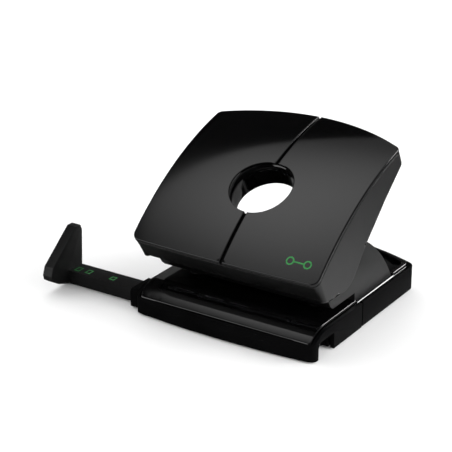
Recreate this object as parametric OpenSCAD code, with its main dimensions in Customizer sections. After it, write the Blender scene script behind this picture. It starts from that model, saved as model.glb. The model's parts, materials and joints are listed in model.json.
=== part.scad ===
// Two-hole paper punch: a wide lever over a C-shaped punch housing, on a base that holds
// a chip tray at the back and a sliding paper guide at the front.
// X runs to the right, Y to the back and Z up, in millimetres.
// The origin is on the rest face, under the middle of the base.

/* [Base] */
// Width of the base from side to side
base_w = 119.2; // [112:0.2:144]
// From the origin forward to the front corners of the base
base_front = 59; // [56:0.5:72]
// From the origin back to the rear corners of the base
base_back = 58.5; // [50:0.5:72]
// How far the front edge bows out between its corners
front_bow = 3.2; // [0:0.2:6]
// How far the rear edge bows out between its corners
rear_bow = 13.5; // [4:0.5:18]
// Corner radius of the base's rear corners in plan
base_corner = 6; // [3:0.5:9]
// Corner radius of the base's front corners in plan
nose_corner = 4; // [3:0.5:6]
// Height of the base walls above the rest face
base_h = 15.8; // [14.8:0.2:16.4]
// Thickness of the base walls
base_wall = 2.4; // [2:0.2:3]
// Thickness of the base floor
floor_t = 2; // [1.6:0.2:2.4]
// Height of the rubber feet under the floor
foot_h = 0.8; // [0.6:0.1:1.2]
// Diameter of the rubber feet
foot_d = 10; // [8:0.5:12]

/* [Deck] */
// Height of the paper table above the rest face
deck_z = 17.8; // [17.4:0.1:18.6]
// Thickness of the deck moulding
deck_t = 2; // [1.6:0.1:2.2]
// Radius of the bend that takes the deck down to its front edge
roll_r = 20; // [18:0.5:23]
// Depth of the sunken rear floor below the paper table
sunk = 1.8; // [1:0.1:2]
// Width of the raised rim around the sunken floor
rim_w = 2.6; // [2:0.2:4]

/* [Punching] */
// Distance between the two punched holes
pin_spacing = 80; // [66:1:84]
// Diameter of the punch pins
pin_d = 5.5; // [4.5:0.1:6.6]
// From the paper's edge to the middle of a punched hole
hole_margin = 12; // [10:0.5:14]
// Height of the paper slot
slot_h = 4.8; // [4.4:0.1:5]
// Where the paper's edge stops, along Y
stop_y = -9; // [-11:0.5:-7]
// Outer diameter of a die
die_d = 12; // [10:0.5:14]
// Outer diameter of a pin's guide bush
bush_d = 9; // [8:0.2:10]
// Width of a punch bracket
bracket_w = 18; // [16:0.5:20]
// Thickness of the bracket steel
bracket_t = 1.5; // [1.2:0.1:2]
// Wire diameter of the return springs
wire_d = 1; // [0.8:0.1:1.2]
// Number of turns in a return spring
spring_turns = 4; // [3:1:5]

/* [Pivot] */
// Diameter of the lever's axle
axle_d = 5; // [4:0.2:6]
// Place of the axle along Y
pivot_y = -40; // [-42:0.5:-38]
// Height of the axle
pivot_z = 35; // [34:0.5:37]
// Diameter of the bar that presses on the pins
bar_d = 7; // [6:0.2:8]

/* [Lever] */
// How far the lever stands out past the base on each side
lever_over = 1; // [0:0.2:3]
// Length of the lever plate at its sides, along its slope
lever_len = 103.6; // [96:0.5:126]
// How far the lever's rear edge bows out between its corners
lever_bow = 15.5; // [6:0.5:18]
// Corner radius of the lever plate
lever_corner = 4.5; // [3:0.5:7]
// Slope of the lever at rest, in degrees
tilt = 28; // [27:0.5:29]
// Radius of the arch of the lever plate
arch_r = 193.6; // [180:1:220]
// Thickness of the gloss plates
plate_t = 2; // [1.6:0.1:2.4]
// Thickness of the lever shell under the plates
shell_t = 2.2; // [1.8:0.1:2.6]
// Width of the groove between the two plates
groove_w = 2.4; // [1:0.2:3.4]
// Diameter of the finger hole
finger_d = 37.4; // [30:0.5:44]
// Wall of the finger hole's sleeve
sleeve_t = 1.5; // [1.2:0.1:2]
// Depth of the finger hole's sleeve
sleeve_h = 17.5; // [12:0.5:18]

/* [Paper guide] */
// Width of the rail, along Y
rail_w = 12.4; // [10:0.2:14]
// Height of the rail
rail_h = 9; // [7:0.2:9.4]
// Length of the rail from the fence's outer face
rail_len = 134; // [120:1:150]
// How far the fence's outer face stands from the middle of the base
fence_x = 121; // [110:1:150]
// Height of the fence above the rail's underside
fence_h = 34.3; // [28:0.5:40]
// Thickness of the fence
fence_t = 6.4; // [5:0.2:8]
// How far the collar around the rail stands out from the base
collar_out = 7; // [4:0.5:8]

/* [Clearances] */
// Gap between moulded faces that slide or part
gap = 0.4; // [0.3:0.05:0.6]
// Width of the seam between the base frame and the chip tray
seam_w = 1; // [0.6:0.1:1.2]
// Radial clearance of a shaft that turns or slides in a bore
run = 0.05; // [0.03:0.01:0.09]

/* [Hidden] */
fine = 96;
small = 40;
arch_fine = 360;
reach = 300;
half_w = base_w / 2;
floor_top = foot_h + floor_t;
seam_y = -5;

deck_inset = base_wall + gap;
deck_half = half_w - deck_inset;
deck_front = base_front - 0.6;
deck_skirt_z = 11;
case_edge_z = 10;
sunk_z = deck_z - sunk;
deck_under = sunk_z - deck_t;
sunk_y = stop_y + 2;
case_roll_r = roll_r - 1;
deck_bend = acos(1 - (deck_z - deck_skirt_z) / roll_r);
case_bend = acos(1 - (base_h - case_edge_z) / case_roll_r);
deck_roll_y = roll_r * sin(deck_bend) - deck_front;
case_roll_y = case_roll_r * sin(case_bend) - base_front - 0.2;

pin_x = pin_spacing / 2;
pin_y = stop_y - hole_margin;
slot_top = deck_z + slot_h;
jaw_t = 2;
jaw_z = deck_under - jaw_t;
jaw_front = pin_y - die_d / 2 - 2.4;
guide_z = slot_top + 2.2;
bush_top = guide_z + 6.2;
bracket_top = 38;
bracket_back = 6;
spine_y = stop_y + 2.4;
tab_back = 18;
tab_w = 10;
nose_r = axle_d / 2 + 1.9;
pin_tip_z = slot_top + 0.2;
spring_r = pin_d / 2 + run + 0.6 + wire_d / 2;
collar_d = 2 * spring_r + wire_d + 0.6;

cheek_t = 2;
cheek_out = deck_half - 0.5;
cheek_in = cheek_out - cheek_t;
clip_t = 0.8;
axle_half = cheek_in - 0.8;
arm_t = 2;
arm_out = axle_half - clip_t - 0.7;
arm_in = arm_out - arm_t;

lever_half = half_w + lever_over;
skirt_out = half_w - 0.1;
skirt_in = cheek_out + 0.7;
lever_front_bow = 0.8;
lever_y = -60;
lever_z = 47.5;
arch_u = 55.2;
arch_w = -185.9;
body_r = arch_r - plate_t;
under_r = body_r - shell_t;
rear_depth = 9.8;
finger_u = 50.8;
bar_y = -23;
bar_z = 52;
bar_gap = 0.4;
pin_top_z = bar_z - bar_d / 2 - bar_gap;
collar_top = pin_top_z - 1.2;
collar_t = 1.6;

rail_front = -50.4;
rail_back = rail_front + rail_w;
rail_z = 1.2;
rail_wall = 1.6;
rail_top = rail_z + rail_h;
exit_r = 3.8;
exit_wall = 1.2;
collar_rise = 1.5;
collar_front = rail_front - 3.6;
collar_back = rail_back + 2.2;
fence_nose_y = rail_front - 16.6;
fence_nose_z = rail_z + 10.6;
fence_top_z = rail_z + fence_h;
fence_top_front = rail_back - 4.4;
fence_lean = 1.4;
notch_w = 0.9;
notch_x = fence_t + 12 - fence_x;
notch_pitch = 11;

bin_half = half_w - 14.6;
bin_front = rail_back + 1.8;
bin_floor = floor_top + gap;
bin_top = jaw_z - 1;
bin_wall = 1.5;
post_d = 7;
post_x = cheek_in - post_d / 2 + 0.9;
post_y = 11.5;
front_post_y = jaw_front - post_d / 2 - 0.6;
rib_xs = [-30, 24];
rib_t = 2;
screw_d = 3;
screw_head_d = 5.6;
screw_head_t = 1.8;
plate_screw_us = [40, 60];
yoke_in = pin_x - bracket_w / 2 - 1 - arm_t;
plate_screw_x = (yoke_in + arm_out) / 2;
flange_top = -0.5;
flange_end = 66;

// Outline of one quarter in plan: a side corner's arc, then a bowed end up to the middle
function quarter(half, end, bow, r) =
    let (s = atan(2 * bow * (half - r) / pow(half, 2)))
    let (xe = half - r + r * sin(s))
    let (yc = end + bow * (1 - pow(xe / half, 2)) - r * cos(s))
    concat(
        arc(half - r, yc, r, 0, 90 - s, 8),
        [for (i = [1:12]) let (x = xe * (1 - i / 12)) [x, end + bow * (1 - pow(x / half, 2))]]);

// Whole outline in plan from its front and back quarters
function plan(half, front, front_bow, front_r, back, back_bow, back_r) =
    let (b = quarter(half, back, back_bow, back_r))
    let (f = quarter(half, front, front_bow, front_r))
    concat(
        b,
        [for (i = [len(b) - 2:-1:0]) [-b[i][0], b[i][1]]],
        [for (p = f) [-p[0], -p[1]]],
        [for (i = [len(f) - 2:-1:0]) [f[i][0], -f[i][1]]]);

// Arc of points about a centre, from one angle to another
function arc(cy, cz, r, a0, a1, n) =
    [for (i = [0:n]) let (a = a0 + (a1 - a0) * i / n) [cy + r * cos(a), cz + r * sin(a)]];

// Place of a point of the side view in the lever's own sloping frame
function slope_u(y, z) = (y - lever_y) * cos(tilt) + (z - lever_z) * sin(tilt);
function slope_w(y, z) = (z - lever_z) * cos(tilt) - (y - lever_y) * sin(tilt);
pivot_u = slope_u(pivot_y, pivot_z);
pivot_w = slope_w(pivot_y, pivot_z);
bar_u = slope_u(bar_y, bar_z);
bar_w = slope_w(bar_y, bar_z);

// Extrudes a side view, drawn with Y across and Z up, along X
module along_x(x0, x1) {
    translate([x0, 0, 0])
        rotate([90, 0, 90])
            linear_extrude(x1 - x0) children();
}

// Draws its children on both sides
module both_sides() {
    children();
    mirror([1, 0, 0]) children();
}

module base_prism(inset, z0, z1) {
    translate([0, 0, z0])
        linear_extrude(z1 - z0)
            polygon(plan(half_w - inset, base_front - inset, front_bow, nose_corner - inset / 2,
                base_back - inset, rear_bow, base_corner - inset / 2));
}

module deck_prism(inset, z0, z1) {
    translate([0, 0, z0])
        linear_extrude(z1 - z0)
            polygon(plan(deck_half - inset, deck_front - inset, 0, nose_corner - base_wall + gap - inset / 2,
                base_back - deck_inset - inset, rear_bow, base_corner - deck_inset / 2 - inset / 2));
}

// Side view under a flat top that bends down at the front, and goes on along its last slope
module rolled_side(centre_y, top, r, bend) {
    end_y = centre_y - r * sin(bend);
    end_z = top - r + r * cos(bend);
    polygon(concat(
        [[reach, 0], [reach, top]],
        arc(centre_y, top - r, r, 90, 90 + bend, 12),
        [[end_y - end_z / tan(bend), 0]]));
}

// Base

module rail_window(x0, x1) {
    along_x(x0, x1)
        polygon([[rail_front - gap, -1], [rail_back + gap, -1],
            [rail_back + gap, rail_top + gap], [rail_front - gap, rail_top + gap]]);
}

// Wider opening with an arched front corner, where the rail can come out on the right
module rail_exit(x0, x1, back) {
    along_x(x0, x1)
        polygon(concat([[rail_front - exit_r, -1], [back, -1], [back, rail_top + gap]],
            arc(rail_front, rail_top + gap - exit_r, exit_r, 90, 180, 6)));
}

// Everything in front of the seam between the base frame and the chip tray
module front_half() {
    translate([-reach, -reach, 0]) cube([2 * reach, reach + seam_y - seam_w / 2, 2 * base_h]);
}

module front_walls() {
    intersection() {
        difference() {
            base_prism(0, foot_h, base_h);
            base_prism(base_wall, 0, base_h + 1);
            deck_prism(-gap - 0.2, deck_skirt_z, 2 * base_h);
        }
        along_x(-reach, reach) rolled_side(case_roll_y, base_h, case_roll_r, case_bend);
        front_half();
    }
}

// Walls that carry the deck, open at the back for the chip tray
module inner_walls() {
    difference() {
        union() {
            base_prism(deck_inset, foot_h, deck_skirt_z);
            intersection() {
                base_prism(base_wall - 0.5, foot_h, deck_skirt_z);
                front_half();
            }
        }
        base_prism(deck_inset + deck_t, 0, base_h);
        translate([-bin_half - gap, base_back / 2, floor_top])
            cube([2 * (bin_half + gap), base_back, base_h]);
    }
}

module base_frame() {
    color([0.06, 0.06, 0.065])
    difference() {
        union() {
            front_walls();
            inner_walls();
            base_prism(deck_inset, foot_h, floor_top);
            intersection() {
                base_prism(0, foot_h, floor_top);
                front_half();
            }
            both_sides() {
                translate([post_x, post_y, foot_h])
                    cylinder(h = deck_skirt_z - foot_h, d = post_d, $fn = small);
                translate([post_x, post_y, foot_h])
                    cylinder(h = deck_under - foot_h, d = post_d - 1, $fn = small);
                translate([post_x, front_post_y, foot_h])
                    cylinder(h = deck_skirt_z - foot_h, d = post_d, $fn = small);
            }
            // Collar around the rail on the left wall
            along_x(-half_w - collar_out, -half_w + base_wall)
                polygon([[collar_front, foot_h], [collar_back, foot_h],
                    [collar_back, rail_top + collar_rise],
                    [collar_front + collar_rise, rail_top + collar_rise],
                    [collar_front, rail_top]]);
            // Ribs that guide the rail
            for (x = rib_xs)
                along_x(x, x + rib_t)
                    polygon([[-base_front + base_wall, foot_h], [bin_front - gap, foot_h],
                        [bin_front - gap, deck_skirt_z - 0.3],
                        [-base_front + base_wall, deck_skirt_z - 0.3]]);
        }
        rail_window(-reach, half_w - base_wall - deck_t - 2);
        rail_exit(half_w - base_wall - deck_t - 3, reach, rail_back + 2 * gap);
        rail_exit(half_w - base_wall - exit_wall - gap, half_w - base_wall, rail_back + 5);
        both_sides() for (y = [post_y, front_post_y]) {
            translate([post_x, y, 0]) cylinder(h = base_h, d = screw_d + 0.4, $fn = small);
            translate([post_x, y, 0])
                cylinder(h = foot_h + screw_head_t + 0.2, d = screw_head_d + 0.4, $fn = small);
        }
    }
}

module rubber_feet() {
    color([0.09, 0.09, 0.09]) {
        cylinder(h = foot_h, d = foot_d, $fn = small);
        both_sides() for (y = [bin_front + foot_d, base_back - foot_d])
            translate([half_w - foot_d - 4.6, y, 0])
                cylinder(h = foot_h, d = foot_d, $fn = small);
    }
}

module deck_windows() {
    both_sides() {
        translate([pin_x, pin_y, 0]) cylinder(h = 2 * deck_z, d = die_d + 0.4, $fn = small);
        translate([pin_x - bracket_w / 2 - gap / 2, spine_y - gap / 2, 0])
            cube([bracket_w + gap, bracket_back - spine_y + gap, 2 * deck_z]);
        translate([pin_x, bracket_back + 6, 0])
            cylinder(h = 2 * deck_z, d = screw_d + 0.4, $fn = small);
        translate([post_x, post_y, 0]) cylinder(h = 2 * deck_z, d = screw_d + 0.4, $fn = small);
        translate([post_x, front_post_y, 0])
            cylinder(h = deck_z - 1, d = screw_d, $fn = small);
    }
}

// Deck moulding without its holes
module deck_shell() {
    difference() {
        intersection() {
            deck_prism(0, deck_skirt_z, deck_z + 1);
            along_x(-reach, reach) rolled_side(deck_roll_y, deck_z, roll_r, deck_bend);
        }
        // Hollow under the paper table
        intersection() {
            deck_prism(deck_t, 0, deck_z - deck_t);
            along_x(-reach, reach)
                rolled_side(deck_roll_y, deck_z - deck_t, roll_r - deck_t, deck_bend);
            translate([-reach, -reach, 0]) cube([2 * reach, reach + sunk_y - deck_t, 2 * deck_z]);
        }
        // Hollow under the sunken floor
        intersection() {
            deck_prism(deck_t, 0, deck_under);
            translate([-reach, sunk_y - deck_t - 1, 0]) cube([2 * reach, reach, 2 * deck_z]);
        }
        // Sunken floor inside its rim
        intersection() {
            deck_prism(rim_w, sunk_z, 2 * deck_z);
            translate([-reach, sunk_y, 0]) cube([2 * reach, reach, 2 * deck_z]);
        }
        // Seat of the punch housing, across the rim
        translate([-reach, sunk_y, sunk_z])
            cube([2 * reach, back_bottom + gap - sunk_y, deck_z]);
    }
}

module deck() {
    color([0.03, 0.03, 0.033])
    difference() {
        union() {
            deck_shell();
            both_sides() translate([post_x, front_post_y, deck_skirt_z])
                cylinder(h = deck_z - deck_t / 2 - deck_skirt_z, d = post_d, $fn = small);
        }
        deck_windows();
    }
}

// Punch housing: a C in side view, open at its front for the paper and at its top

housing_front = [[-33.8, slot_top], [-36.6, slot_top + 2.4], [-39, slot_top + 6.1]];
housing_top = [[pivot_y, pivot_z + nose_r], [-30, 46], [-2, 52]];
back_r = 94.7;
back_y = -46.7;
back_z = -30.9;
back_bottom = back_y + sqrt(pow(back_r, 2) - pow(sunk_z - back_z, 2));

function housing_back(r, a0) = arc(back_y, back_z, r, a0, asin((sunk_z - back_z) / r), 10);

module cheek_side() {
    difference() {
        union() {
            polygon(concat(housing_front, [[pivot_y - 1, pivot_z - 3]], housing_top,
                housing_back(back_r, 58), [[sunk_y, sunk_z], [sunk_y, deck_z], [stop_y, deck_z],
                [stop_y, slot_top]]));
            translate([pivot_y, pivot_z]) circle(nose_r, $fn = small);
        }
        translate([pivot_y, pivot_z]) circle(axle_d / 2 + 0.3, $fn = small);
    }
}

module punch_housing() {
    color([0.05, 0.05, 0.055]) {
        difference() {
            union() {
                both_sides() along_x(cheek_in, cheek_out) cheek_side();
                // Nose, roof of the paper slot and paper stop
                along_x(-cheek_in, cheek_in)
                    polygon(concat(housing_front,
                        [[-37.2, slot_top + 6.1], [-34.8, slot_top + 2.6], [-33.2, slot_top + 1.8],
                        [stop_y + 2, slot_top + 1.8], [stop_y + 2, deck_z],
                        [stop_y, deck_z], [stop_y, slot_top]]));
                // Curved back wall
                along_x(-cheek_in, cheek_in)
                    polygon(concat(housing_back(back_r, 55),
                        [for (i = [10:-1:0]) housing_back(back_r - 2, 55)[i]]));
                both_sides() translate([post_x, post_y, sunk_z])
                    cylinder(h = 12, d = post_d, $fn = small);
            }
            both_sides() {
                translate([pin_x, pin_y, slot_top - 1])
                    cylinder(h = 4, d = pin_d + 1.4, $fn = small);
                translate([post_x, post_y, sunk_z - 1]) cylinder(h = 11, d = screw_d, $fn = small);
            }
        }
    }
}

// Punching parts, drawn on the right and mirrored for the left

module bracket() {
    difference() {
        union() {
            for (x = [-bracket_w / 2, bracket_w / 2 - bracket_t])
                along_x(x, x + bracket_t) {
                    difference() {
                        union() {
                            polygon([[pivot_y + 2, pivot_z - nose_r + 0.6], [pivot_y + 7, guide_z],
                                [spine_y, guide_z], [spine_y, jaw_z], [bracket_back, jaw_z],
                                [bracket_back, bracket_top], [pivot_y, pivot_z + nose_r]]);
                            translate([pivot_y, pivot_z]) circle(nose_r, $fn = small);
                        }
                        translate([pivot_y, pivot_z]) circle(axle_d / 2, $fn = small);
                    }
                }
            // Lower jaw that carries the die, with its rear tab
            translate([-bracket_w / 2, jaw_front, jaw_z])
                cube([bracket_w, bracket_back - jaw_front, jaw_t]);
            translate([-tab_w / 2, bracket_back - 1, jaw_z])
                cube([tab_w, tab_back - bracket_back + 1, jaw_t]);
            // Upper jaw that guides the pin
            translate([-bracket_w / 2, pin_y - 10, guide_z])
                cube([bracket_w, bracket_back - pin_y + 10, jaw_t]);
            // Rear web
            translate([-bracket_w / 2, bracket_back - bracket_t, jaw_z])
                cube([bracket_w, bracket_t, bracket_top - jaw_z]);
        }
        translate([0, pin_y, guide_z - 1]) cylinder(h = jaw_t + 2, d = bush_d, $fn = small);
        translate([0, pin_y, jaw_z - 1]) cylinder(h = jaw_t + 2, d = die_d, $fn = small);
        translate([0, bracket_back + 6, jaw_z - 1])
            cylinder(h = jaw_t + 2, d = screw_d, $fn = small);
    }
}

module bracket_right() {
    color([0.72, 0.73, 0.75]) translate([pin_x, 0, 0]) bracket();
}

module bracket_left() {
    mirror([1, 0, 0]) bracket_right();
}

module die_right() {
    color([0.6, 0.61, 0.63])
    translate([pin_x, pin_y, jaw_z])
        difference() {
            cylinder(h = deck_z - jaw_z, d = die_d, $fn = small);
            translate([0, 0, -1]) cylinder(h = deck_z, d = pin_d + 2 * run, $fn = small);
            translate([0, 0, -1])
                cylinder(h = deck_z - jaw_z - 1.5, d = pin_d + 1.4, $fn = small);
        }
}

module die_left() {
    mirror([1, 0, 0]) die_right();
}

module guide_bush_right() {
    color([0.78, 0.62, 0.3])
    translate([pin_x, pin_y, guide_z])
        difference() {
            union() {
                cylinder(h = bush_top - guide_z, d = bush_d, $fn = small);
                translate([0, 0, jaw_t]) cylinder(h = 1, d = bush_d + 3, $fn = small);
            }
            translate([0, 0, -1])
                cylinder(h = bush_top, d = pin_d + 2 * run, $fn = small);
        }
}

module guide_bush_left() {
    mirror([1, 0, 0]) guide_bush_right();
}

module punch_pin_right() {
    color([0.8, 0.8, 0.82])
    translate([pin_x, pin_y, 0])
        difference() {
            translate([0, 0, pin_tip_z])
                cylinder(h = pin_top_z - pin_tip_z, d = pin_d, $fn = small);
            // Hollow cutting edge across the tip
            translate([0, 0, pin_tip_z])
                along_x(-pin_d, pin_d) polygon([[-pin_d / 2 + 0.3, -1], [0, 1.3], [pin_d / 2 - 0.3, -1]]);
        }
}

module punch_pin_left() {
    mirror([1, 0, 0]) punch_pin_right();
}

module spring_collar_right() {
    color([0.55, 0.56, 0.58])
    translate([pin_x, pin_y, collar_top - collar_t])
        difference() {
            cylinder(h = collar_t, d = collar_d, $fn = small);
            translate([0, 0, -1]) cylinder(h = collar_t + 2, d = pin_d, $fn = small);
        }
}

module spring_collar_left() {
    mirror([1, 0, 0]) spring_collar_right();
}

// One coil spring: a round wire swept along a helix, standing on z = 0
module coil(height) {
    sides = 8;
    rings = spring_turns * 14;
    rise = height - wire_d;
    points = [for (i = [0:rings]) for (j = [0:sides - 1])
        let (a = 360 * spring_turns * i / rings)
        let (q = spring_r + wire_d / 2 * cos(360 * j / sides))
        [q * cos(a), q * sin(a), wire_d / 2 + rise * i / rings + wire_d / 2 * sin(360 * j / sides)]];
    skin = [for (i = [0:rings - 1]) for (j = [0:sides - 1])
        let (k = (j + 1) % sides)
        [i * sides + j, (i + 1) * sides + j, (i + 1) * sides + k, i * sides + k]];
    start = [for (j = [0:sides - 1]) j];
    finish = [for (j = [sides - 1:-1:0]) rings * sides + j];
    polyhedron(points, concat([start], skin, [finish]));
}

module return_spring_right() {
    color([0.7, 0.7, 0.72])
    translate([pin_x, pin_y, bush_top + 0.05])
        coil(collar_top - collar_t - bush_top - 0.1);
}

module return_spring_left() {
    color([0.7, 0.7, 0.72])
    translate([-pin_x, pin_y, bush_top + 0.05])
        coil(collar_top - collar_t - bush_top - 0.1);
}

module axle() {
    color([0.75, 0.75, 0.77])
    difference() {
        along_x(-axle_half, axle_half)
            translate([pivot_y, pivot_z]) circle(axle_d / 2, $fn = small);
        both_sides() along_x(arm_out + 0.3, arm_out + 0.3 + clip_t)
            translate([pivot_y, pivot_z]) difference() {
                circle(axle_d, $fn = small);
                circle(axle_d / 2 - 0.5, $fn = small);
            }
    }
}

module axle_clips() {
    color([0.4, 0.4, 0.42])
    both_sides() along_x(arm_out + 0.3, arm_out + 0.3 + clip_t)
        translate([pivot_y, pivot_z]) difference() {
            circle(nose_r, $fn = small);
            circle(axle_d / 2 - 0.5, $fn = small);
            translate([0, -axle_d / 2 + 0.5]) square([axle_d, axle_d - 1]);
        }
}

module screw(length) {
    cylinder(h = screw_head_t, d = screw_head_d, $fn = small);
    cylinder(h = length, d = screw_d - 0.02, $fn = small);
}

module base_screws() {
    color([0.6, 0.6, 0.62])
    both_sides() {
        translate([post_x, post_y, foot_h + 0.2]) screw(sunk_z + 8);
        translate([post_x, front_post_y, foot_h + 0.2]) screw(deck_z - deck_t - foot_h);
    }
}

module bracket_screws() {
    color([0.6, 0.6, 0.62])
    both_sides()
        translate([pin_x, bracket_back + 6, sunk_z + screw_head_t])
            rotate([180, 0, 0]) screw(sunk_z - jaw_z + screw_head_t);
}

// Steel leaf behind the rail that clicks into its notches
module guide_click_spring() {
    color([0.7, 0.7, 0.72])
    translate([rib_xs[0] + rib_t, rail_back + gap, rail_z + rail_h / 2 - 1.5])
        linear_extrude(3)
            polygon([[0, 0.5], [4, 0.5], [11, 0], [13, -0.2], [15, 0], [22, 0.5],
                [22, 0.9], [15, 0.4], [13, 0.2], [11, 0.4], [4, 0.9], [0, 0.9]]);
}

// Lever, drawn in its own frame: Y runs up its slope from its front edge, Z out of its plate

module lever_place() {
    translate([0, lever_y, lever_z]) rotate([tilt, 0, 0]) children();
}

module lever_prism(inset, w0, w1) {
    translate([0, 0, w0])
        linear_extrude(w1 - w0)
            polygon(plan(lever_half - inset, -inset, lever_front_bow, lever_corner - inset / 2,
                lever_len - inset, lever_bow, lever_corner - inset / 2));
}

module arch(r) {
    along_x(-reach, reach) translate([arch_u, arch_w]) circle(r, $fn = arch_fine);
}

module finger_cut(d) {
    translate([0, finger_u, -reach]) cylinder(h = 2 * reach, d = d, $fn = fine);
}

module plates() {
    difference() {
        intersection() {
            lever_prism(0, -rear_depth, 20);
            arch(arch_r);
        }
        arch(body_r);
        finger_cut(finger_d);
    }
}

module lever_plate_right() {
    color([0.02, 0.02, 0.022])
    lever_place() intersection() {
        plates();
        translate([groove_w / 2, -reach, -reach]) cube(2 * reach);
    }
}

module lever_plate_left() {
    mirror([1, 0, 0]) lever_plate_right();
}

module finger_sleeve() {
    color([0.02, 0.02, 0.022])
    lever_place() difference() {
        intersection() {
            translate([0, finger_u, flange_top - 9.6])
                cylinder(h = sleeve_h + 9, d = finger_d + 2 * sleeve_t, $fn = fine);
            arch(body_r);
        }
        finger_cut(finger_d);
    }
}

// Side view of a skirt: down the front edge, along the bottom and up under the rear
skirt_points = [[0.3, 2], [0.3, 0], [4.2, -18.6], [6.5, -21.8], [23.7, -31], [31, -31.6],
    [38.6, -28.6], [45.3, -25], [53.8, -22.2], [65.4, -19.2], [78.3, -15.6]];

module skirt_side() {
    intersection() {
        polygon(concat(skirt_points, [[lever_len - 0.3, -rear_depth], [lever_len - 0.3, 20], [0.3, 20]]));
        translate([arch_u, arch_w]) circle(body_r, $fn = arch_fine);
    }
}

module lever_shell() {
    color([0.045, 0.045, 0.05])
    lever_place() difference() {
        union() {
            // Skin under the plates, with its rim
            difference() {
                intersection() {
                    lever_prism(0.3, -rear_depth, 20);
                    arch(body_r);
                }
                intersection() {
                    lever_prism(0.3 + shell_t, -rear_depth - 1, 20);
                    arch(under_r);
                }
            }
            both_sides() along_x(skirt_in, skirt_out) skirt_side();
            // Undercut front wall
            intersection() {
                along_x(-skirt_in - 0.1, skirt_in + 0.1)
                    polygon([[0.3, 0], [4, -17.8], [5.6, -18.9], [6.7, -17.6], [2.6, 0]]);
                arch(body_r);
            }
            // Bosses for the steel yokes
            intersection() {
                both_sides() for (u = plate_screw_us)
                    translate([plate_screw_x, u, flange_top])
                        cylinder(h = 8, d = post_d, $fn = small);
                arch(under_r + 0.5);
            }
        }
        finger_cut(finger_d + 2 * sleeve_t);
        // Room to swing around the axle's end of the brackets
        along_x(-cheek_out - 0.5, cheek_out + 0.5)
            translate([pivot_u, pivot_w]) circle(nose_r + gap, $fn = small);
        both_sides() for (u = plate_screw_us)
            translate([plate_screw_x, u, flange_top - 1])
                cylinder(h = 4, d = screw_d, $fn = small);
    }
}

// Pressed steel yoke on one side: an arm on each side of the bracket, joined by a flange
module lever_yoke_right() {
    color([0.7, 0.71, 0.73])
    lever_place() difference() {
        union() {
            for (x = [yoke_in, arm_in])
                along_x(x, x + arm_t) {
                    translate([pivot_u, pivot_w]) circle(nose_r, $fn = small);
                    translate([bar_u, bar_w]) circle(bar_d, $fn = small);
                    polygon([[pivot_u - 2, pivot_w + nose_r - 1], [bar_u - 2, flange_top],
                        [flange_end, flange_top], [flange_end, flange_top - 4],
                        [bar_u + bar_d, bar_w - 2], [bar_u, bar_w - bar_d],
                        [pivot_u + 1.4, pivot_w - nose_r + 0.3]]);
                }
            translate([yoke_in, bar_u - 2, flange_top - arm_t])
                cube([arm_out - yoke_in, flange_end - bar_u + 2, arm_t]);
        }
        along_x(0, reach) translate([pivot_u, pivot_w]) circle(axle_d / 2 + run, $fn = small);
        along_x(0, reach) translate([bar_u, bar_w]) circle(bar_d / 2, $fn = small);
        for (u = plate_screw_us)
            translate([plate_screw_x, u, flange_top - 5])
                cylinder(h = 8, d = screw_d + 0.2, $fn = small);
    }
}

module lever_yoke_left() {
    mirror([1, 0, 0]) lever_yoke_right();
}

module press_bar_right() {
    color([0.75, 0.75, 0.77])
    along_x(yoke_in, arm_out)
        translate([bar_y, bar_z]) circle(bar_d / 2, $fn = small);
}

module press_bar_left() {
    mirror([1, 0, 0]) press_bar_right();
}

module lever_screws() {
    color([0.6, 0.6, 0.62])
    lever_place() both_sides() for (u = plate_screw_us)
        translate([plate_screw_x, u, flange_top - arm_t - screw_head_t]) screw(6);
}

// Chip tray: a bin under the dies, with the rear walls of the base as its front

module chip_tray() {
    color([0.06, 0.06, 0.065])
    union() {
        difference() {
            base_prism(0, foot_h + 0.2, base_h);
            base_prism(base_wall, 0, base_h + 1);
            translate([-reach, -reach, 0]) cube([2 * reach, reach + seam_y + seam_w / 2, 2 * base_h]);
        }
        difference() {
            intersection() {
                translate([-bin_half, bin_front, bin_floor])
                    cube([2 * bin_half, reach, bin_top - bin_floor]);
                base_prism(base_wall / 2, 0, base_h);
            }
            intersection() {
                translate([-bin_half + bin_wall, bin_front + bin_wall, bin_floor + bin_wall])
                    cube([2 * (bin_half - bin_wall), reach, base_h]);
                base_prism(base_wall, 0, 2 * base_h);
            }
        }
    }
}

// Paper guide: a channel-shaped rail with a fence at its left end

module paper_guide() {
    color([0.06, 0.06, 0.065])
    difference() {
        union() {
            along_x(-fence_x + 1, -fence_x + rail_len)
                polygon([[rail_front, rail_top], [rail_front + 1.2, rail_z],
                    [rail_front + 1.2 + rail_wall, rail_z],
                    [rail_front + rail_wall + 0.4, rail_top - rail_wall],
                    [rail_back - rail_wall, rail_top - rail_wall], [rail_back - rail_wall, rail_z],
                    [rail_back, rail_z], [rail_back, rail_top]]);
            along_x(-fence_x, -fence_x + fence_t)
                polygon([[rail_back, rail_z], [rail_back + fence_lean, fence_top_z - 3.2],
                    [rail_back, fence_top_z], [fence_top_front, fence_top_z],
                    [fence_nose_y + 2, fence_nose_z + 5.2], [fence_nose_y, fence_nose_z],
                    [fence_nose_y + 0.8, fence_nose_z - 3], [fence_nose_y + 6.6, fence_nose_z - 6.8],
                    [rail_front + 1.2, rail_z]]);
        }
        // Click notches along the back of the rail
        for (i = [0:9])
            translate([notch_x + notch_pitch * i, rail_back, rail_z + rail_h / 2])
                rotate([0, 0, 45]) cube([notch_w, notch_w, rail_h / 2], center = true);
    }
}

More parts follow.
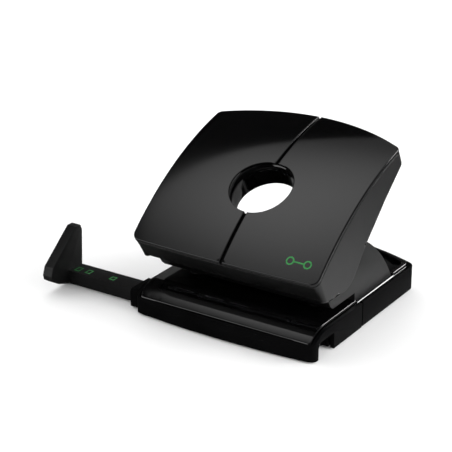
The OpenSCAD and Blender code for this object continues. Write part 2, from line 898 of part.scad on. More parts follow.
base_frame();
rubber_feet();
deck();
punch_housing();
bracket_left();
bracket_right();
die_left();
die_right();
guide_bush_left();
guide_bush_right();
return_spring_left();
return_spring_right();
axle();
axle_clips();
base_screws();
bracket_screws();
guide_click_spring();
lever_shell();
lever_plate_left();
lever_plate_right();
finger_sleeve();
lever_yoke_left();
lever_yoke_right();
press_bar_left();
press_bar_right();
lever_screws();
punch_pin_left();
punch_pin_right();
spring_collar_left();
spring_collar_right();
chip_tray();
paper_guide();
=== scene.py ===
import json
import math

import bmesh
import bpy
import numpy as np
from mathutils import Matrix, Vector
from mathutils.geometry import delaunay_2d_cdt


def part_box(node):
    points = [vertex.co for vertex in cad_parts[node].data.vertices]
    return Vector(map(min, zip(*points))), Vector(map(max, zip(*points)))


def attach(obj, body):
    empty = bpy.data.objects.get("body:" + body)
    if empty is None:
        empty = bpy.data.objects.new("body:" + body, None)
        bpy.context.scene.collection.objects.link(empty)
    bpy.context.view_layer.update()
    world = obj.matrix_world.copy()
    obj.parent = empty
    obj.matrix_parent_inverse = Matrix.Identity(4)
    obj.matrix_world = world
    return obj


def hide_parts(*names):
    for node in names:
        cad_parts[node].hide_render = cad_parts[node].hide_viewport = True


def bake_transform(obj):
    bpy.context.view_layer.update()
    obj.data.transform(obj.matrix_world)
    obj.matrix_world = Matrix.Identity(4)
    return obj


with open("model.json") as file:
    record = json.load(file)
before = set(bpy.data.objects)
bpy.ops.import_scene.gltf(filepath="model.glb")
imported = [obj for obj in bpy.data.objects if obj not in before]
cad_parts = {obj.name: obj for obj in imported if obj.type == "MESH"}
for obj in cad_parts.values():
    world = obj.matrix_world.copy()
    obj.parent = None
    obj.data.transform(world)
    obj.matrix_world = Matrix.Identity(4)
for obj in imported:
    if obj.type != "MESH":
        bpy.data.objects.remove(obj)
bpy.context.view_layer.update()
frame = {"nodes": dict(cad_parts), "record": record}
mm = 0.001


# Materials

def newGroup(name, inputs, outputs):
    # inputs and outputs are (name, socket type, default) and (name, socket type)
    group = bpy.data.node_groups.new(name, "ShaderNodeTree")
    for label, kind, default in inputs:
        socket = group.interface.new_socket(label, in_out="INPUT", socket_type=kind)
        socket.default_value = default
    for label, kind in outputs:
        group.interface.new_socket(label, in_out="OUTPUT", socket_type=kind)
    return group, group.nodes.new("NodeGroupInput"), group.nodes.new("NodeGroupOutput")


def noiseNode(tree, scale, detail, roughness=0.5):
    # a noise texture; its first output is the value
    node = tree.nodes.new("ShaderNodeTexNoise")
    node.inputs["Scale"].default_value = scale
    node.inputs["Detail"].default_value = detail
    node.inputs["Roughness"].default_value = roughness
    return node


def mathNode(tree, operation, first, second=None, clamp=False):
    # a math node fed by sockets or plain numbers
    node = tree.nodes.new("ShaderNodeMath")
    node.operation = operation
    node.use_clamp = clamp
    for i, value in enumerate((first, second)):
        if value is None:
            continue
        if isinstance(value, bpy.types.NodeSocket):
            tree.links.new(value, node.inputs[i])
        else:
            node.inputs[i].default_value = value
    return node.outputs[0]


def rampNode(tree, source, low, high):
    # maps low..high of the source to 0..1
    node = tree.nodes.new("ShaderNodeMapRange")
    node.inputs["From Min"].default_value = low
    node.inputs["From Max"].default_value = high
    tree.links.new(source, node.inputs["Value"])
    return node.outputs["Result"]


def mixColor(tree, factor, first, second):
    # first (1 - factor) + second factor, for colours given as sockets or as red, green and blue
    node = tree.nodes.new("ShaderNodeMix")
    node.data_type = "RGBA"
    tree.links.new(factor, node.inputs["Factor"])
    for socket, value in ((node.inputs[6], first), (node.inputs[7], second)):
        if isinstance(value, bpy.types.NodeSocket):
            tree.links.new(value, socket)
        else:
            socket.default_value = (*value, 1)
    return node.outputs[2]


grainShape = {"pits": 900.0, "pitDetail": 3, "drift": 30.0, "patches": (0.35, 0.65)}


def makeGrain():
    # fine moulded texture: two noises, one for pits and one for a slow drift of the gloss
    group, source, sink = newGroup(
        "moulded grain",
        [("Scale", "NodeSocketFloat", grainShape["pits"]), ("Drift", "NodeSocketFloat", grainShape["drift"])],
        [("Height", "NodeSocketFloat"), ("Patches", "NodeSocketFloat")])
    coords = group.nodes.new("ShaderNodeTexCoord")
    pits = noiseNode(group, grainShape["pits"], grainShape["pitDetail"], 0.6)
    slow = noiseNode(group, grainShape["drift"], 2)
    for node in (pits, slow):
        group.links.new(coords.outputs["Object"], node.inputs["Vector"])
    group.links.new(source.outputs["Scale"], pits.inputs["Scale"])
    group.links.new(source.outputs["Drift"], slow.inputs["Scale"])
    group.links.new(pits.outputs[0], sink.inputs["Height"])
    group.links.new(rampNode(group, slow.outputs[0], *grainShape["patches"]), sink.inputs["Patches"])
    return group


dustShape = {
    "cells": 420, "speck": 0.085, "patchScale": 45, "patchFrom": 0.62, "lineScale": 60, "lineStretch": 26,
    "lineTurn": (0.3, 0.2, 0.7), "lines": (0.62, 0.72)}


def makeDust():
    # sparse specks and very fine hairline marks, as masks
    group, source, sink = newGroup(
        "dust and hairlines",
        [("Amount", "NodeSocketFloat", 0.3)],
        [("Specks", "NodeSocketFloat"), ("Hairlines", "NodeSocketFloat")])
    coords = group.nodes.new("ShaderNodeTexCoord")
    cells = group.nodes.new("ShaderNodeTexVoronoi")
    cells.inputs["Scale"].default_value = dustShape["cells"]
    group.links.new(coords.outputs["Object"], cells.inputs["Vector"])
    patches = noiseNode(group, dustShape["patchScale"], 3)
    group.links.new(coords.outputs["Object"], patches.inputs["Vector"])
    near = mathNode(group, "LESS_THAN", cells.outputs["Distance"], dustShape["speck"])
    where = mathNode(group, "GREATER_THAN", patches.outputs[0], dustShape["patchFrom"])
    specks = mathNode(group, "MULTIPLY", near, where)
    group.links.new(mathNode(group, "MULTIPLY", specks, source.outputs["Amount"]), sink.inputs["Specks"])
    turn = group.nodes.new("ShaderNodeMapping")
    turn.inputs["Rotation"].default_value = dustShape["lineTurn"]
    turn.inputs["Scale"].default_value = (1, dustShape["lineStretch"], 1)
    group.links.new(coords.outputs["Object"], turn.inputs["Vector"])
    lines = noiseNode(group, dustShape["lineScale"], 4, 0.7)
    group.links.new(turn.outputs[0], lines.inputs["Vector"])
    sharp = rampNode(group, lines.outputs[0], *dustShape["lines"])
    group.links.new(mathNode(group, "MULTIPLY", sharp, source.outputs["Amount"]), sink.inputs["Hairlines"])
    return group


wearShape = {"breakup": 160, "edge": (0.53, 0.62), "rubbed": (0.4, 0.7)}


def makeWear():
    # lighter, rubbed edges: pointiness of the surface times a noise
    group, source, sink = newGroup(
        "edge wear",
        [("Amount", "NodeSocketFloat", 0.3)],
        [("Mask", "NodeSocketFloat")])
    shape = group.nodes.new("ShaderNodeNewGeometry")
    coords = group.nodes.new("ShaderNodeTexCoord")
    breakup = noiseNode(group, wearShape["breakup"], 4, 0.6)
    group.links.new(coords.outputs["Object"], breakup.inputs["Vector"])
    edge = rampNode(group, shape.outputs["Pointiness"], *wearShape["edge"])
    rubbed = rampNode(group, breakup.outputs[0], *wearShape["rubbed"])
    both = mathNode(group, "MULTIPLY", edge, rubbed)
    group.links.new(mathNode(group, "MULTIPLY", both, source.outputs["Amount"], True), sink.inputs["Mask"])
    return group


grainGroup = makeGrain()
dustGroup = makeDust()
wearGroup = makeWear()


def useGroup(tree, group, **values):
    # places a shared group in a material with its own input values
    node = tree.nodes.new("ShaderNodeGroup")
    node.node_tree = group
    for label, value in values.items():
        node.inputs[label].default_value = value
    return node


def newMaterial(name, roughness, metallic=0.0, specular=0.5):
    # a Principled material with its even values set on the sockets
    material = bpy.data.materials.new(name)
    material.use_nodes = True
    shader = material.node_tree.nodes["Principled BSDF"]
    shader.inputs["Roughness"].default_value = roughness
    shader.inputs["Metallic"].default_value = metallic
    shader.inputs["Specular IOR Level"].default_value = specular
    return material, material.node_tree, shader


def addBump(tree, shader, height, strength, distance):
    # turns a height mask into the shader's normal
    bump = tree.nodes.new("ShaderNodeBump")
    bump.inputs["Strength"].default_value = strength
    bump.inputs["Distance"].default_value = distance
    tree.links.new(height, bump.inputs["Height"])
    tree.links.new(bump.outputs[0], shader.inputs["Normal"])


def plasticMaterial(name, look):
    # moulded plastic: grain, slow gloss drift, edge wear and a little dust
    material, tree, shader = newMaterial(name, look["roughness"], specular=look["specular"])
    grain = useGroup(tree, grainGroup, Scale=look["grainScale"], Drift=look["drift"])
    dust = useGroup(tree, dustGroup, Amount=look["dust"])
    body = mixColor(tree, grain.outputs["Patches"], look["dark"], look["light"])
    if "wear" in look:
        wear = useGroup(tree, wearGroup, Amount=look["wear"])
        body = mixColor(tree, wear.outputs["Mask"], body, look["rubbed"])
    tree.links.new(mixColor(tree, dust.outputs["Specks"], body, look["speck"]), shader.inputs["Base Color"])
    drift = mathNode(tree, "MULTIPLY", grain.outputs["Patches"], look["glossDrift"])
    base = mathNode(tree, "ADD", drift, look["roughness"])
    rough = mathNode(tree, "ADD", base, dust.outputs["Hairlines"], True)
    tree.links.new(rough, shader.inputs["Roughness"])
    addBump(tree, shader, grain.outputs["Height"], look["bump"], look["bumpDepth"])
    return material


def metalMaterial(name, look):
    # pressed or turned metal with brushed streaks and dull patches
    material, tree, shader = newMaterial(name, look["roughness"], metallic=1.0)
    coords = tree.nodes.new("ShaderNodeTexCoord")
    stretch = tree.nodes.new("ShaderNodeMapping")
    stretch.inputs["Scale"].default_value = look["stretch"]
    tree.links.new(coords.outputs["Object"], stretch.inputs["Vector"])
    streaks = noiseNode(tree, look["streakScale"], 4, 0.6)
    tree.links.new(stretch.outputs[0], streaks.inputs["Vector"])
    grain = useGroup(tree, grainGroup, Scale=look["streakScale"] * 2, Drift=look["drift"])
    wear = useGroup(tree, wearGroup, Amount=look["wear"])
    body = mixColor(tree, grain.outputs["Patches"], look["dark"], look["light"])
    tree.links.new(mixColor(tree, wear.outputs["Mask"], body, look["rubbed"]), shader.inputs["Base Color"])
    rough = mathNode(tree, "MULTIPLY", streaks.outputs[0], look["streakGloss"])
    tree.links.new(mathNode(tree, "ADD", rough, look["roughness"], True), shader.inputs["Roughness"])
    addBump(tree, shader, streaks.outputs[0], look["bump"], look["bumpDepth"])
    return material


def printMaterial(name, look):
    # screen-printed ink with a faint mottle
    material, tree, shader = newMaterial(name, look["roughness"])
    coords = tree.nodes.new("ShaderNodeTexCoord")
    mottle = noiseNode(tree, look["mottle"], 3)
    tree.links.new(coords.outputs["Object"], mottle.inputs["Vector"])
    color = mixColor(tree, mottle.outputs[0], look["dark"], look["light"])
    tree.links.new(color, shader.inputs["Base Color"])
    addBump(tree, shader, mottle.outputs[0], look["bump"], look["bumpDepth"])
    return material


glossLook = {
    "roughness": 0.075, "specular": 0.5, "grainScale": 260.0, "drift": 16.0, "dust": 0.05,
    "dark": (0.0008, 0.0008, 0.0009), "light": (0.0013, 0.0013, 0.0014),
    "speck": (0.09, 0.09, 0.09), "glossDrift": 0.025, "bump": 0.02, "bumpDepth": 0.0001}
satinLook = {
    "roughness": 0.36, "specular": 0.5, "grainScale": 1500.0, "drift": 40.0, "dust": 0.06,
    "dark": (0.0022, 0.0022, 0.0023), "light": (0.0034, 0.0034, 0.0036),
    "speck": (0.12, 0.12, 0.12), "glossDrift": 0.05, "bump": 0.12, "bumpDepth": 0.00012}
caseLook = {
    "roughness": 0.42, "specular": 0.02, "grainScale": 1300.0, "drift": 36.0, "dust": 0.08,
    "dark": (0.0014, 0.0014, 0.0015), "light": (0.0022, 0.0022, 0.0024),
    "speck": (0.14, 0.14, 0.14), "glossDrift": 0.06, "bump": 0.16, "bumpDepth": 0.00014}
guideLook = dict(caseLook, specular=0.3, dark=(0.003, 0.003, 0.0031), light=(0.0045, 0.0045, 0.0047))
rubberLook = {
    "roughness": 0.8, "specular": 0.3, "grainScale": 1100.0, "drift": 50.0, "dust": 0.12, "wear": 0.2,
    "dark": (0.02, 0.02, 0.02), "light": (0.03, 0.03, 0.03), "rubbed": (0.08, 0.08, 0.08),
    "speck": (0.2, 0.2, 0.19), "glossDrift": 0.05, "bump": 0.3, "bumpDepth": 0.0002}
zincLook = {
    "roughness": 0.24, "dark": (0.50, 0.52, 0.55), "light": (0.62, 0.64, 0.67), "rubbed": (0.8, 0.8, 0.8),
    "stretch": (1, 1, 14), "streakScale": 300.0, "streakGloss": 0.22,
    "bump": 0.15, "bumpDepth": 0.00005, "drift": 60.0, "wear": 0.5}
groundLook = {
    "roughness": 0.14, "dark": (0.55, 0.55, 0.57), "light": (0.68, 0.68, 0.70), "rubbed": (0.85, 0.85, 0.85),
    "stretch": (1, 1, 30), "streakScale": 400.0, "streakGloss": 0.15,
    "bump": 0.1, "bumpDepth": 0.00005, "drift": 60.0, "wear": 0.5}
bronzeLook = {
    "roughness": 0.22, "dark": (0.50, 0.33, 0.12), "light": (0.66, 0.47, 0.2), "rubbed": (0.9, 0.7, 0.4),
    "stretch": (1, 1, 30), "streakScale": 400.0, "streakGloss": 0.18,
    "bump": 0.1, "bumpDepth": 0.00005, "drift": 60.0, "wear": 0.5}
inkLook = {
    "roughness": 0.5, "dark": (0.012, 0.16, 0.03), "light": (0.02, 0.22, 0.045), "mottle": 700,
    "bump": 0.1, "bumpDepth": 0.00003}

finishes = {
    "gloss_black": plasticMaterial("glossBlackPlastic", glossLook),
    "satin_black": plasticMaterial("satinBlackPlastic", satinLook),
    "base_black": plasticMaterial("mattBlackPlastic", caseLook),
    "rubber": plasticMaterial("footRubber", rubberLook),
    "zinc_steel": metalMaterial("zincSteel", zincLook),
    "ground_steel": metalMaterial("groundSteel", groundLook),
    "brass": metalMaterial("sinteredBronze", bronzeLook),
    "guide": plasticMaterial("guidePlastic", guideLook),
    "print": printMaterial("greenPrint", inkLook),
}
slotOf = {part["node"]: part["material_slot"] for part in frame["record"]["subparts"]}
bodyOf = {node: body for body, nodes in frame["record"]["behaviour"]["bodies"].items() for node in nodes}
for name, node in frame["nodes"].items():
    node.data.materials.clear()
    node.data.materials.append(finishes["guide" if name == "paper_guide" else slotOf[name]])
print("materials done")


# Camera, floor and lights

view = {"place": (0.4346, -0.7204, 0.3949), "back": (0.5051, -0.7739, 0.3820), "lens": 125.77, "sensor": 36,
        "near": 0.01}
camera = bpy.data.objects.new("camera", bpy.data.cameras.new("camera"))
camera.data.lens = view["lens"]
camera.data.sensor_width = view["sensor"]
camera.data.clip_start = view["near"]
camera.location = view["place"]
camera.rotation_euler = Vector(view["back"]).to_track_quat("Z", "Y").to_euler()
bpy.context.scene.collection.objects.link(camera)
bpy.context.scene.camera = camera


# pool, poolReach and floorMirror set the painted pool of light on the floor, and wallMirror, wallDark and
# wallEdge set the painted shade on the backdrop; polished parts are the only ones that see both
studio = {
    "floor": 0.86, "floorMirror": 0.72, "floorHalf": 5.0, "floorFront": -3.0, "floorBack": 1.3,
    "floorSink": 0.0002, "pool": (0.09, 0.0), "poolReach": 0.12,
    "wall": 0.8, "wallMirror": 0.17, "wallDark": 0.04, "wallEdge": (-1.48, -1.38),
    "wallRun": 1.1, "wallRise": 1.68, "sky": 1.0, "ambient": 2.1, "surround": 0.016,
    "paleRoughness": 0.8, "paleSpecular": 0.1,
    "boxHeight": 0.5, "boxEdge": (-0.3244, 0.219), "boxWide": 0.95, "boxFrom": -0.62, "boxTo": 0.75,
    "boxPeak": 1.7, "boxLow": 0.3, "hotSpot": (0.12, 0.0), "hotReach": (0.17, 0.34), "fadeEnd": 1.35}
panels = {
    "aim": (0, 0, 0.05),
    "rightPanel": {"place": (1.0, 0.25, 0.5), "size": (0.9, 0.7), "power": 19, "mirrored": False},
    "frontPanel": {"place": (-0.75, -1.0, 0.36), "size": (0.9, 0.5), "power": 4, "mirrored": True},
    "edgePanel": {"place": (0.8, 1.1, 0.42), "size": (0.6, 0.4), "power": 14, "mirrored": True}}


def cameraSwitch(tree, seen, other):
    # one strength for what the camera sees directly and one for everything else
    path = tree.nodes.new("ShaderNodeLightPath")
    span = mathNode(tree, "MULTIPLY", path.outputs["Is Camera Ray"], seen - other)
    return mathNode(tree, "ADD", span, other), path


def paintedPoolLight(tree):
    # painted pool of light on the floor, seen only by polished parts: brightness round it, 1 / (1 + (distance
    # / reach)^2)
    place = tree.nodes.new("ShaderNodeNewGeometry")
    apart = tree.nodes.new("ShaderNodeVectorMath")
    apart.operation = "DISTANCE"
    apart.inputs[1].default_value = (*studio["pool"], 0)
    tree.links.new(place.outputs["Position"], apart.inputs[0])
    part = mathNode(tree, "DIVIDE", apart.outputs["Value"], studio["poolReach"])
    away = mathNode(tree, "ADD", mathNode(tree, "MULTIPLY", part, part), 1.0)
    return mathNode(tree, "MULTIPLY", mathNode(tree, "DIVIDE", 1.0, away), studio["floorMirror"])


def paintedBackdropShade(tree):
    # painted light and shade on the backdrop, seen only by polished parts: lit on its left and dark on its
    # right, with a straight ramp along X between them
    place = tree.nodes.new("ShaderNodeNewGeometry")
    split = tree.nodes.new("ShaderNodeSeparateXYZ")
    tree.links.new(place.outputs["Position"], split.inputs[0])
    right = rampNode(tree, split.outputs[0], *studio["wallEdge"])
    span = mathNode(tree, "MULTIPLY", right, studio["wallDark"] - studio["wallMirror"])
    return mathNode(tree, "ADD", span, studio["wallMirror"])


def paleMaterial(name, tone, mask):
    # polished parts mirror it darker than the camera sees it, by the mask: painted shade, black mixed in for
    # glossy rays
    material, tree, shader = newMaterial(name, studio["paleRoughness"], specular=studio["paleSpecular"])
    shader.inputs["Base Color"].default_value = (tone, tone, tone, 1)
    black = tree.nodes.new("ShaderNodeEmission")
    black.inputs["Color"].default_value = (0, 0, 0, 1)
    path = tree.nodes.new("ShaderNodeLightPath")
    mix = tree.nodes.new("ShaderNodeMixShader")
    darker = mathNode(tree, "SUBTRACT", 1.0, mask(tree))
    tree.links.new(mathNode(tree, "MULTIPLY", path.outputs["Is Glossy Ray"], darker), mix.inputs["Fac"])
    tree.links.new(shader.outputs[0], mix.inputs[1])
    tree.links.new(black.outputs[0], mix.inputs[2])
    tree.links.new(mix.outputs[0], tree.nodes["Material Output"].inputs["Surface"])
    return material


def buildSweep(name, ys, zs, material):
    # a side view of floor or backdrop, carried across the width of the studio
    count = len(ys)
    half = studio["floorHalf"]
    points = np.array([(x, y, z) for x in (-half, half) for y, z in zip(ys, zs)])
    faces = [(i, count + i, count + i + 1, i + 1) for i in range(count - 1)]
    mesh = bpy.data.meshes.new(name)
    mesh.from_pydata(points.tolist(), [], faces)
    mesh.polygons.foreach_set("use_smooth", [True] * len(faces))
    mesh.materials.append(material)
    sweep = bpy.data.objects.new(name, mesh)
    bpy.context.scene.collection.objects.link(sweep)


def buildFloor():
    # flat floor, then a backdrop that curves up: z = rise t^2, y = back + run t
    back, sink = studio["floorBack"], studio["floorSink"]
    buildSweep("floor", np.linspace(studio["floorFront"], back, 3), np.full(3, -sink),
               paleMaterial("paleFloor", studio["floor"], paintedPoolLight))
    t = np.linspace(0, 1, 24)
    buildSweep("backdrop", back + studio["wallRun"] * t, studio["wallRise"] * t ** 2 - sink,
               paleMaterial("paleBackdrop", studio["wall"], paintedBackdropShade))


def buildSoftbox():
    # a flat diffuser over the object; its light fades with the distance from its hot spot, measured in
    # reaches: peak at the spot and low from fadeEnd on
    x0, slope = studio["boxEdge"]
    across = Vector((1, -slope, 0)).normalized()
    low, high, wide = studio["boxFrom"], studio["boxTo"], studio["boxWide"]
    mesh = bpy.data.meshes.new("softbox")
    mesh.from_pydata([(0, low, 0), (wide, low, 0), (wide, high, 0), (0, high, 0)], [], [(3, 2, 1, 0)])
    box = bpy.data.objects.new("softbox", mesh)
    box.location = (x0, 0, studio["boxHeight"])
    box.rotation_euler = (0, 0, math.atan2(across.y, across.x))
    box.visible_camera = False
    bpy.context.scene.collection.objects.link(box)
    material = bpy.data.materials.new("diffuser")
    material.use_nodes = True
    tree = material.node_tree
    tree.nodes.remove(tree.nodes["Principled BSDF"])
    glow = tree.nodes.new("ShaderNodeEmission")
    coords = tree.nodes.new("ShaderNodeTexCoord")
    split = tree.nodes.new("ShaderNodeSeparateXYZ")
    tree.links.new(coords.outputs["Object"], split.inputs[0])
    away = []
    for i in range(2):
        offset = mathNode(tree, "SUBTRACT", split.outputs[i], studio["hotSpot"][i])
        part = mathNode(tree, "DIVIDE", offset, studio["hotReach"][i])
        away.append(mathNode(tree, "MULTIPLY", part, part))
    reach = mathNode(tree, "SQRT", mathNode(tree, "ADD", away[0], away[1]))
    fade = tree.nodes.new("ShaderNodeMapRange")
    fade.interpolation_type = "SMOOTHSTEP"
    fade.inputs["From Min"].default_value = 0.0
    fade.inputs["From Max"].default_value = studio["fadeEnd"]
    fade.inputs["To Min"].default_value = studio["boxPeak"]
    fade.inputs["To Max"].default_value = studio["boxLow"]
    tree.links.new(reach, fade.inputs["Value"])
    tree.links.new(fade.outputs[0], glow.inputs["Strength"])
    tree.links.new(glow.outputs[0], tree.nodes["Material Output"].inputs["Surface"])
    mesh.materials.append(material)


def buildWorld():
    # white to the camera, soft light for matt faces and nearly dark for polished ones
    world = bpy.data.worlds.new("studio")
    world.use_nodes = True
    tree = world.node_tree
    strength, path = cameraSwitch(tree, studio["sky"], studio["surround"])
    soft = mathNode(tree, "MULTIPLY", path.outputs["Is Diffuse Ray"], studio["ambient"] - studio["surround"])
    background = tree.nodes["Background"]
    background.inputs[0].default_value = (1, 1, 1, 1)
    tree.links.new(mathNode(tree, "ADD", strength, soft), background.inputs[1])
    bpy.context.scene.world = world


def buildPanels():
    # area lamps that aim at the object; some only light matt faces and some are only mirrored
    for name in ("rightPanel", "frontPanel", "edgePanel"):
        panel = panels[name]
        lamp = bpy.data.lights.new(name, "AREA")
        lamp.shape = "RECTANGLE"
        lamp.size, lamp.size_y = panel["size"]
        lamp.energy = panel["power"]
        thing = bpy.data.objects.new(name, lamp)
        thing.location = panel["place"]
        aim = Vector(panel["place"]) - Vector(panels["aim"])
        thing.rotation_euler = aim.to_track_quat("Z", "Y").to_euler()
        thing.visible_camera = False
        thing.visible_glossy = panel["mirrored"]
        thing.visible_diffuse = not panel["mirrored"]
        bpy.context.scene.collection.objects.link(thing)


buildFloor()
buildSoftbox()
buildPanels()
buildWorld()
bpy.context.scene.view_settings.view_transform = "Standard"
print("stage done")


# Surface tools

meshing = {
    "cornerSteps": 14, "bowSteps": 40, "filletSteps": 7, "edgeSteps": 5, "shortest": 0.45, "mitre": 0.3,
    "clear": 0.55, "tolerance": 1e-7, "strip": 0.15}


def arcPoints(cx, cy, r, start, end, count):
    # points of an arc from start to end in degrees: x = cx + r cos a, y = cy + r sin a
    a = np.radians(np.linspace(start, end, count))
    return np.stack([cx + r * np.cos(a), cy + r * np.sin(a)], 1)


def circle(cx, cy, r, sides, hole=False):
    # a closed loop of points; a hole runs clockwise
    start, end = (360, 360 / sides) if hole else (0, 360 - 360 / sides)
    return arcPoints(cx, cy, r, start, end, sides)


def level(z):
    # a flat surface at height z
    return lambda p: np.full(len(p), z)


def quarterOutline(half, end, bow, r):
    # a side corner's arc, then a bowed end up to the middle: y = end + bow (1 - (x / half)^2)
    s = math.atan(2 * bow * (half - r) / half ** 2)
    xe = half - r + r * math.sin(s)
    yc = end + bow * (1 - (xe / half) ** 2) - r * math.cos(s)
    corner = arcPoints(half - r, yc, r, 0, 90 - math.degrees(s), meshing["cornerSteps"])
    x = xe * (1 - np.linspace(0, 1, meshing["bowSteps"])[1:])
    return np.vstack([corner, np.stack([x, end + bow * (1 - (x / half) ** 2)], 1)])


def planOutline(half, front, frontBow, back, backBow, r, frontCorner=None):
    # the whole outline anticlockwise: the back quarter, its mirror image, then the front ones
    b = quarterOutline(half, back, backBow, r)
    f = quarterOutline(half, front, frontBow, frontCorner or r)
    return np.vstack([b, (b * [-1, 1])[-2::-1], f * [-1, -1], (f * [1, -1])[-2::-1]])


def filletLoop(points, radius, sharp=20):
    # rounds every corner that turns more than sharp degrees: (1 - t)^2 start + 2 t (1 - t) p + t^2 end
    points = np.asarray(points, float)
    out = []
    for i, p in enumerate(points):
        a, b = points[i - 1] - p, points[(i + 1) % len(points)] - p
        la, lb = np.linalg.norm(a), np.linalg.norm(b)
        turn = math.pi - math.acos(np.clip(a @ b / (la * lb), -1, 1))
        if turn < math.radians(sharp):
            out.append(p[None])
            continue
        cut = min(radius * math.tan(turn / 2), meshing["shortest"] * la, meshing["shortest"] * lb)
        start, end = p + a / la * cut, p + b / lb * cut
        t = np.linspace(0, 1, meshing["filletSteps"])[:, None]
        out.append((1 - t) ** 2 * start + 2 * t * (1 - t) * p + t ** 2 * end)
    return np.vstack(out)


def densify(loop, step):
    # adds points so that no edge is longer than step
    ends = np.roll(loop, -1, 0)
    out = []
    for a, b in zip(loop, ends):
        parts = max(1, int(math.ceil(np.linalg.norm(b - a) / step)))
        out.append(a + (b - a) * (np.arange(parts) / parts)[:, None])
    return np.vstack(out)


def inwardMiter(loop):
    # step that moves both edges at a point inwards by one, (left + before) / (1 + left . before);
    # the material is on the left of the loop's direction
    edge = np.roll(loop, -1, 0) - loop
    edge /= np.linalg.norm(edge, axis=1)[:, None]
    left = np.stack([-edge[:, 1], edge[:, 0]], 1)
    before = np.roll(left, 1, 0)
    return (left + before) / np.maximum(1 + (left * before).sum(1), meshing["mitre"])[:, None]


def insideLoops(points, loops):
    # even-odd rule over all loops
    odd = np.zeros(len(points), bool)
    for loop in loops:
        a, b = loop, np.roll(loop, -1, 0)
        above = (a[None, :, 1] > points[:, None, 1]) != (b[None, :, 1] > points[:, None, 1])
        slope = (b[:, 0] - a[:, 0]) / np.where(b[:, 1] == a[:, 1], 1e-12, b[:, 1] - a[:, 1])
        cross = a[None, :, 0] + (points[:, None, 1] - a[None, :, 1]) * slope[None]
        odd ^= (above & (points[:, None, 0] < cross)).sum(1) % 2 == 1
    return odd


def capOf(loops, spacing):
    # triangles over the area between the loops, with a grid of points inside it
    edge = np.vstack(loops)
    low, high = edge.min(0), edge.max(0)
    gx, gy = np.meshgrid(np.arange(low[0] + spacing / 2, high[0], spacing),
                         np.arange(low[1] + spacing / 2, high[1], spacing))
    grid = np.stack([gx.ravel(), gy.ravel()], 1)
    grid = grid[insideLoops(grid, loops)]
    if len(grid):
        gap = np.sqrt(((grid[:, None] - edge[None]) ** 2).sum(2)).min(1)
        grid = grid[gap > meshing["clear"] * spacing]
    points = np.vstack([edge, grid])
    borders, start = [], 0
    for loop in loops:
        n = len(loop)
        borders += [(start + i, start + (i + 1) % n) for i in range(n)]
        start += n
    found = delaunay_2d_cdt([Vector(p) for p in points.tolist()], borders, [], 0, meshing["tolerance"])
    source = np.array([o[0] if o else -1 for o in found[3]])
    faces = source[np.array(found[2])]
    faces = faces[(faces >= 0).all(1)]
    faces = faces[insideLoops(points[faces].mean(1), loops)]
    a, b, c = (points[faces[:, i]] for i in range(3))
    turned = (b[:, 0] - a[:, 0]) * (c[:, 1] - a[:, 1]) < (b[:, 1] - a[:, 1]) * (c[:, 0] - a[:, 0])
    faces[turned] = faces[turned][:, ::-1]
    return grid, faces


def slab(loops, top, bottom, profile, spacing=4.0):
    # a closed solid between two surfaces: top and bottom give a height for points in the plane, and the
    # profile, a list of (inset, side, drop), runs from the top surface round the edge to the bottom one:
    # z = top - drop or bottom + drop, on the loop moved inwards by inset
    heights = {"top": top, "bottom": bottom}
    count = sum(len(loop) for loop in loops)
    rings = []
    for inset, side, drop in profile:
        flat = np.vstack([loop + inwardMiter(loop) * inset for loop in loops])
        base = heights[side](flat)
        rings.append(np.column_stack([flat, base - drop if side == "top" else base + drop]))
    faces, start = [], 0
    for loop in loops:
        n = len(loop)
        i = np.arange(n)
        j = (i + 1) % n
        for k in range(len(rings) - 1):
            a, b = k * count + start, (k + 1) * count + start
            faces += np.stack([a + i, b + i, b + j, a + j], 1).tolist()
        start += n
    points = np.vstack(rings)
    for ring, side, flip in ((0, "top", False), (len(rings) - 1, "bottom", True)):
        inset = profile[ring][0]
        edge = [loop + inwardMiter(loop) * inset for loop in loops]
        grid, cap = capOf(edge, spacing)
        base = heights[side](grid) if len(grid) else np.zeros(0)
        shift = profile[ring][2]
        inner = np.column_stack([grid, base - shift if side == "top" else base + shift])
        index = np.concatenate([ring * count + np.arange(count), len(points) + np.arange(len(grid))])
        cap = index[cap]
        faces += (cap[:, ::-1] if flip else cap).tolist()
        points = np.vstack([points, inner])
    return points, faces


def roundEdge(r, foot=0.3):
    # profile of a wall: a narrow flat strip, a rounded top edge of radius r, and a small rounded foot;
    # inset = r (1 - sin a) and drop = r (1 - cos a)
    a = np.radians(np.linspace(0, 90, meshing["edgeSteps"]))
    strip = meshing["strip"]
    top = [(r + strip, "top", 0.0)] + [(r * (1 - math.sin(x)), "top", r * (1 - math.cos(x))) for x in a]
    low = [(foot * (1 - math.cos(x)), "bottom", foot * (1 - math.sin(x))) for x in a]
    return top + low + [(foot + strip, "bottom", 0.0)]


def joinParts(parts):
    # stacks several (points, faces) into one
    points, faces, start = [], [], 0
    for p, f in parts:
        points.append(p)
        faces += [[i + start for i in face] for face in f]
        start += len(p)
    return np.vstack(points), faces


def onLever(points):
    # from the lever's sloping frame to the object's frame, in millimetres:
    # y = front + u cos tilt - w sin tilt, z = front + u sin tilt + w cos tilt
    x, u, w = points.T
    c, s = math.cos(lever["tilt"]), math.sin(lever["tilt"])
    return np.column_stack([x, lever["front"][0] + u * c - w * s, lever["front"][1] + u * s + w * c])


def addPiece(name, points, faces, slot, body, replaced=(), finish=None, smooth=True):
    # makes a mesh of points in millimetres, gives it its finish, hangs it on its body and hides the CAD parts
    # that it replaces
    mesh = bpy.data.meshes.new(name)
    mesh.from_pydata((np.asarray(points) * mm).tolist(), [], faces)
    mesh.polygons.foreach_set("use_smooth", [smooth] * len(faces))
    mesh.materials.append(finishes[finish or slot])
    mesh.validate()
    piece = bpy.data.objects.new(name, mesh)
    bpy.context.scene.collection.objects.link(piece)
    if body:
        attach(piece, body)
    if replaced:
        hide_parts(*replaced)
    return piece


# Lever

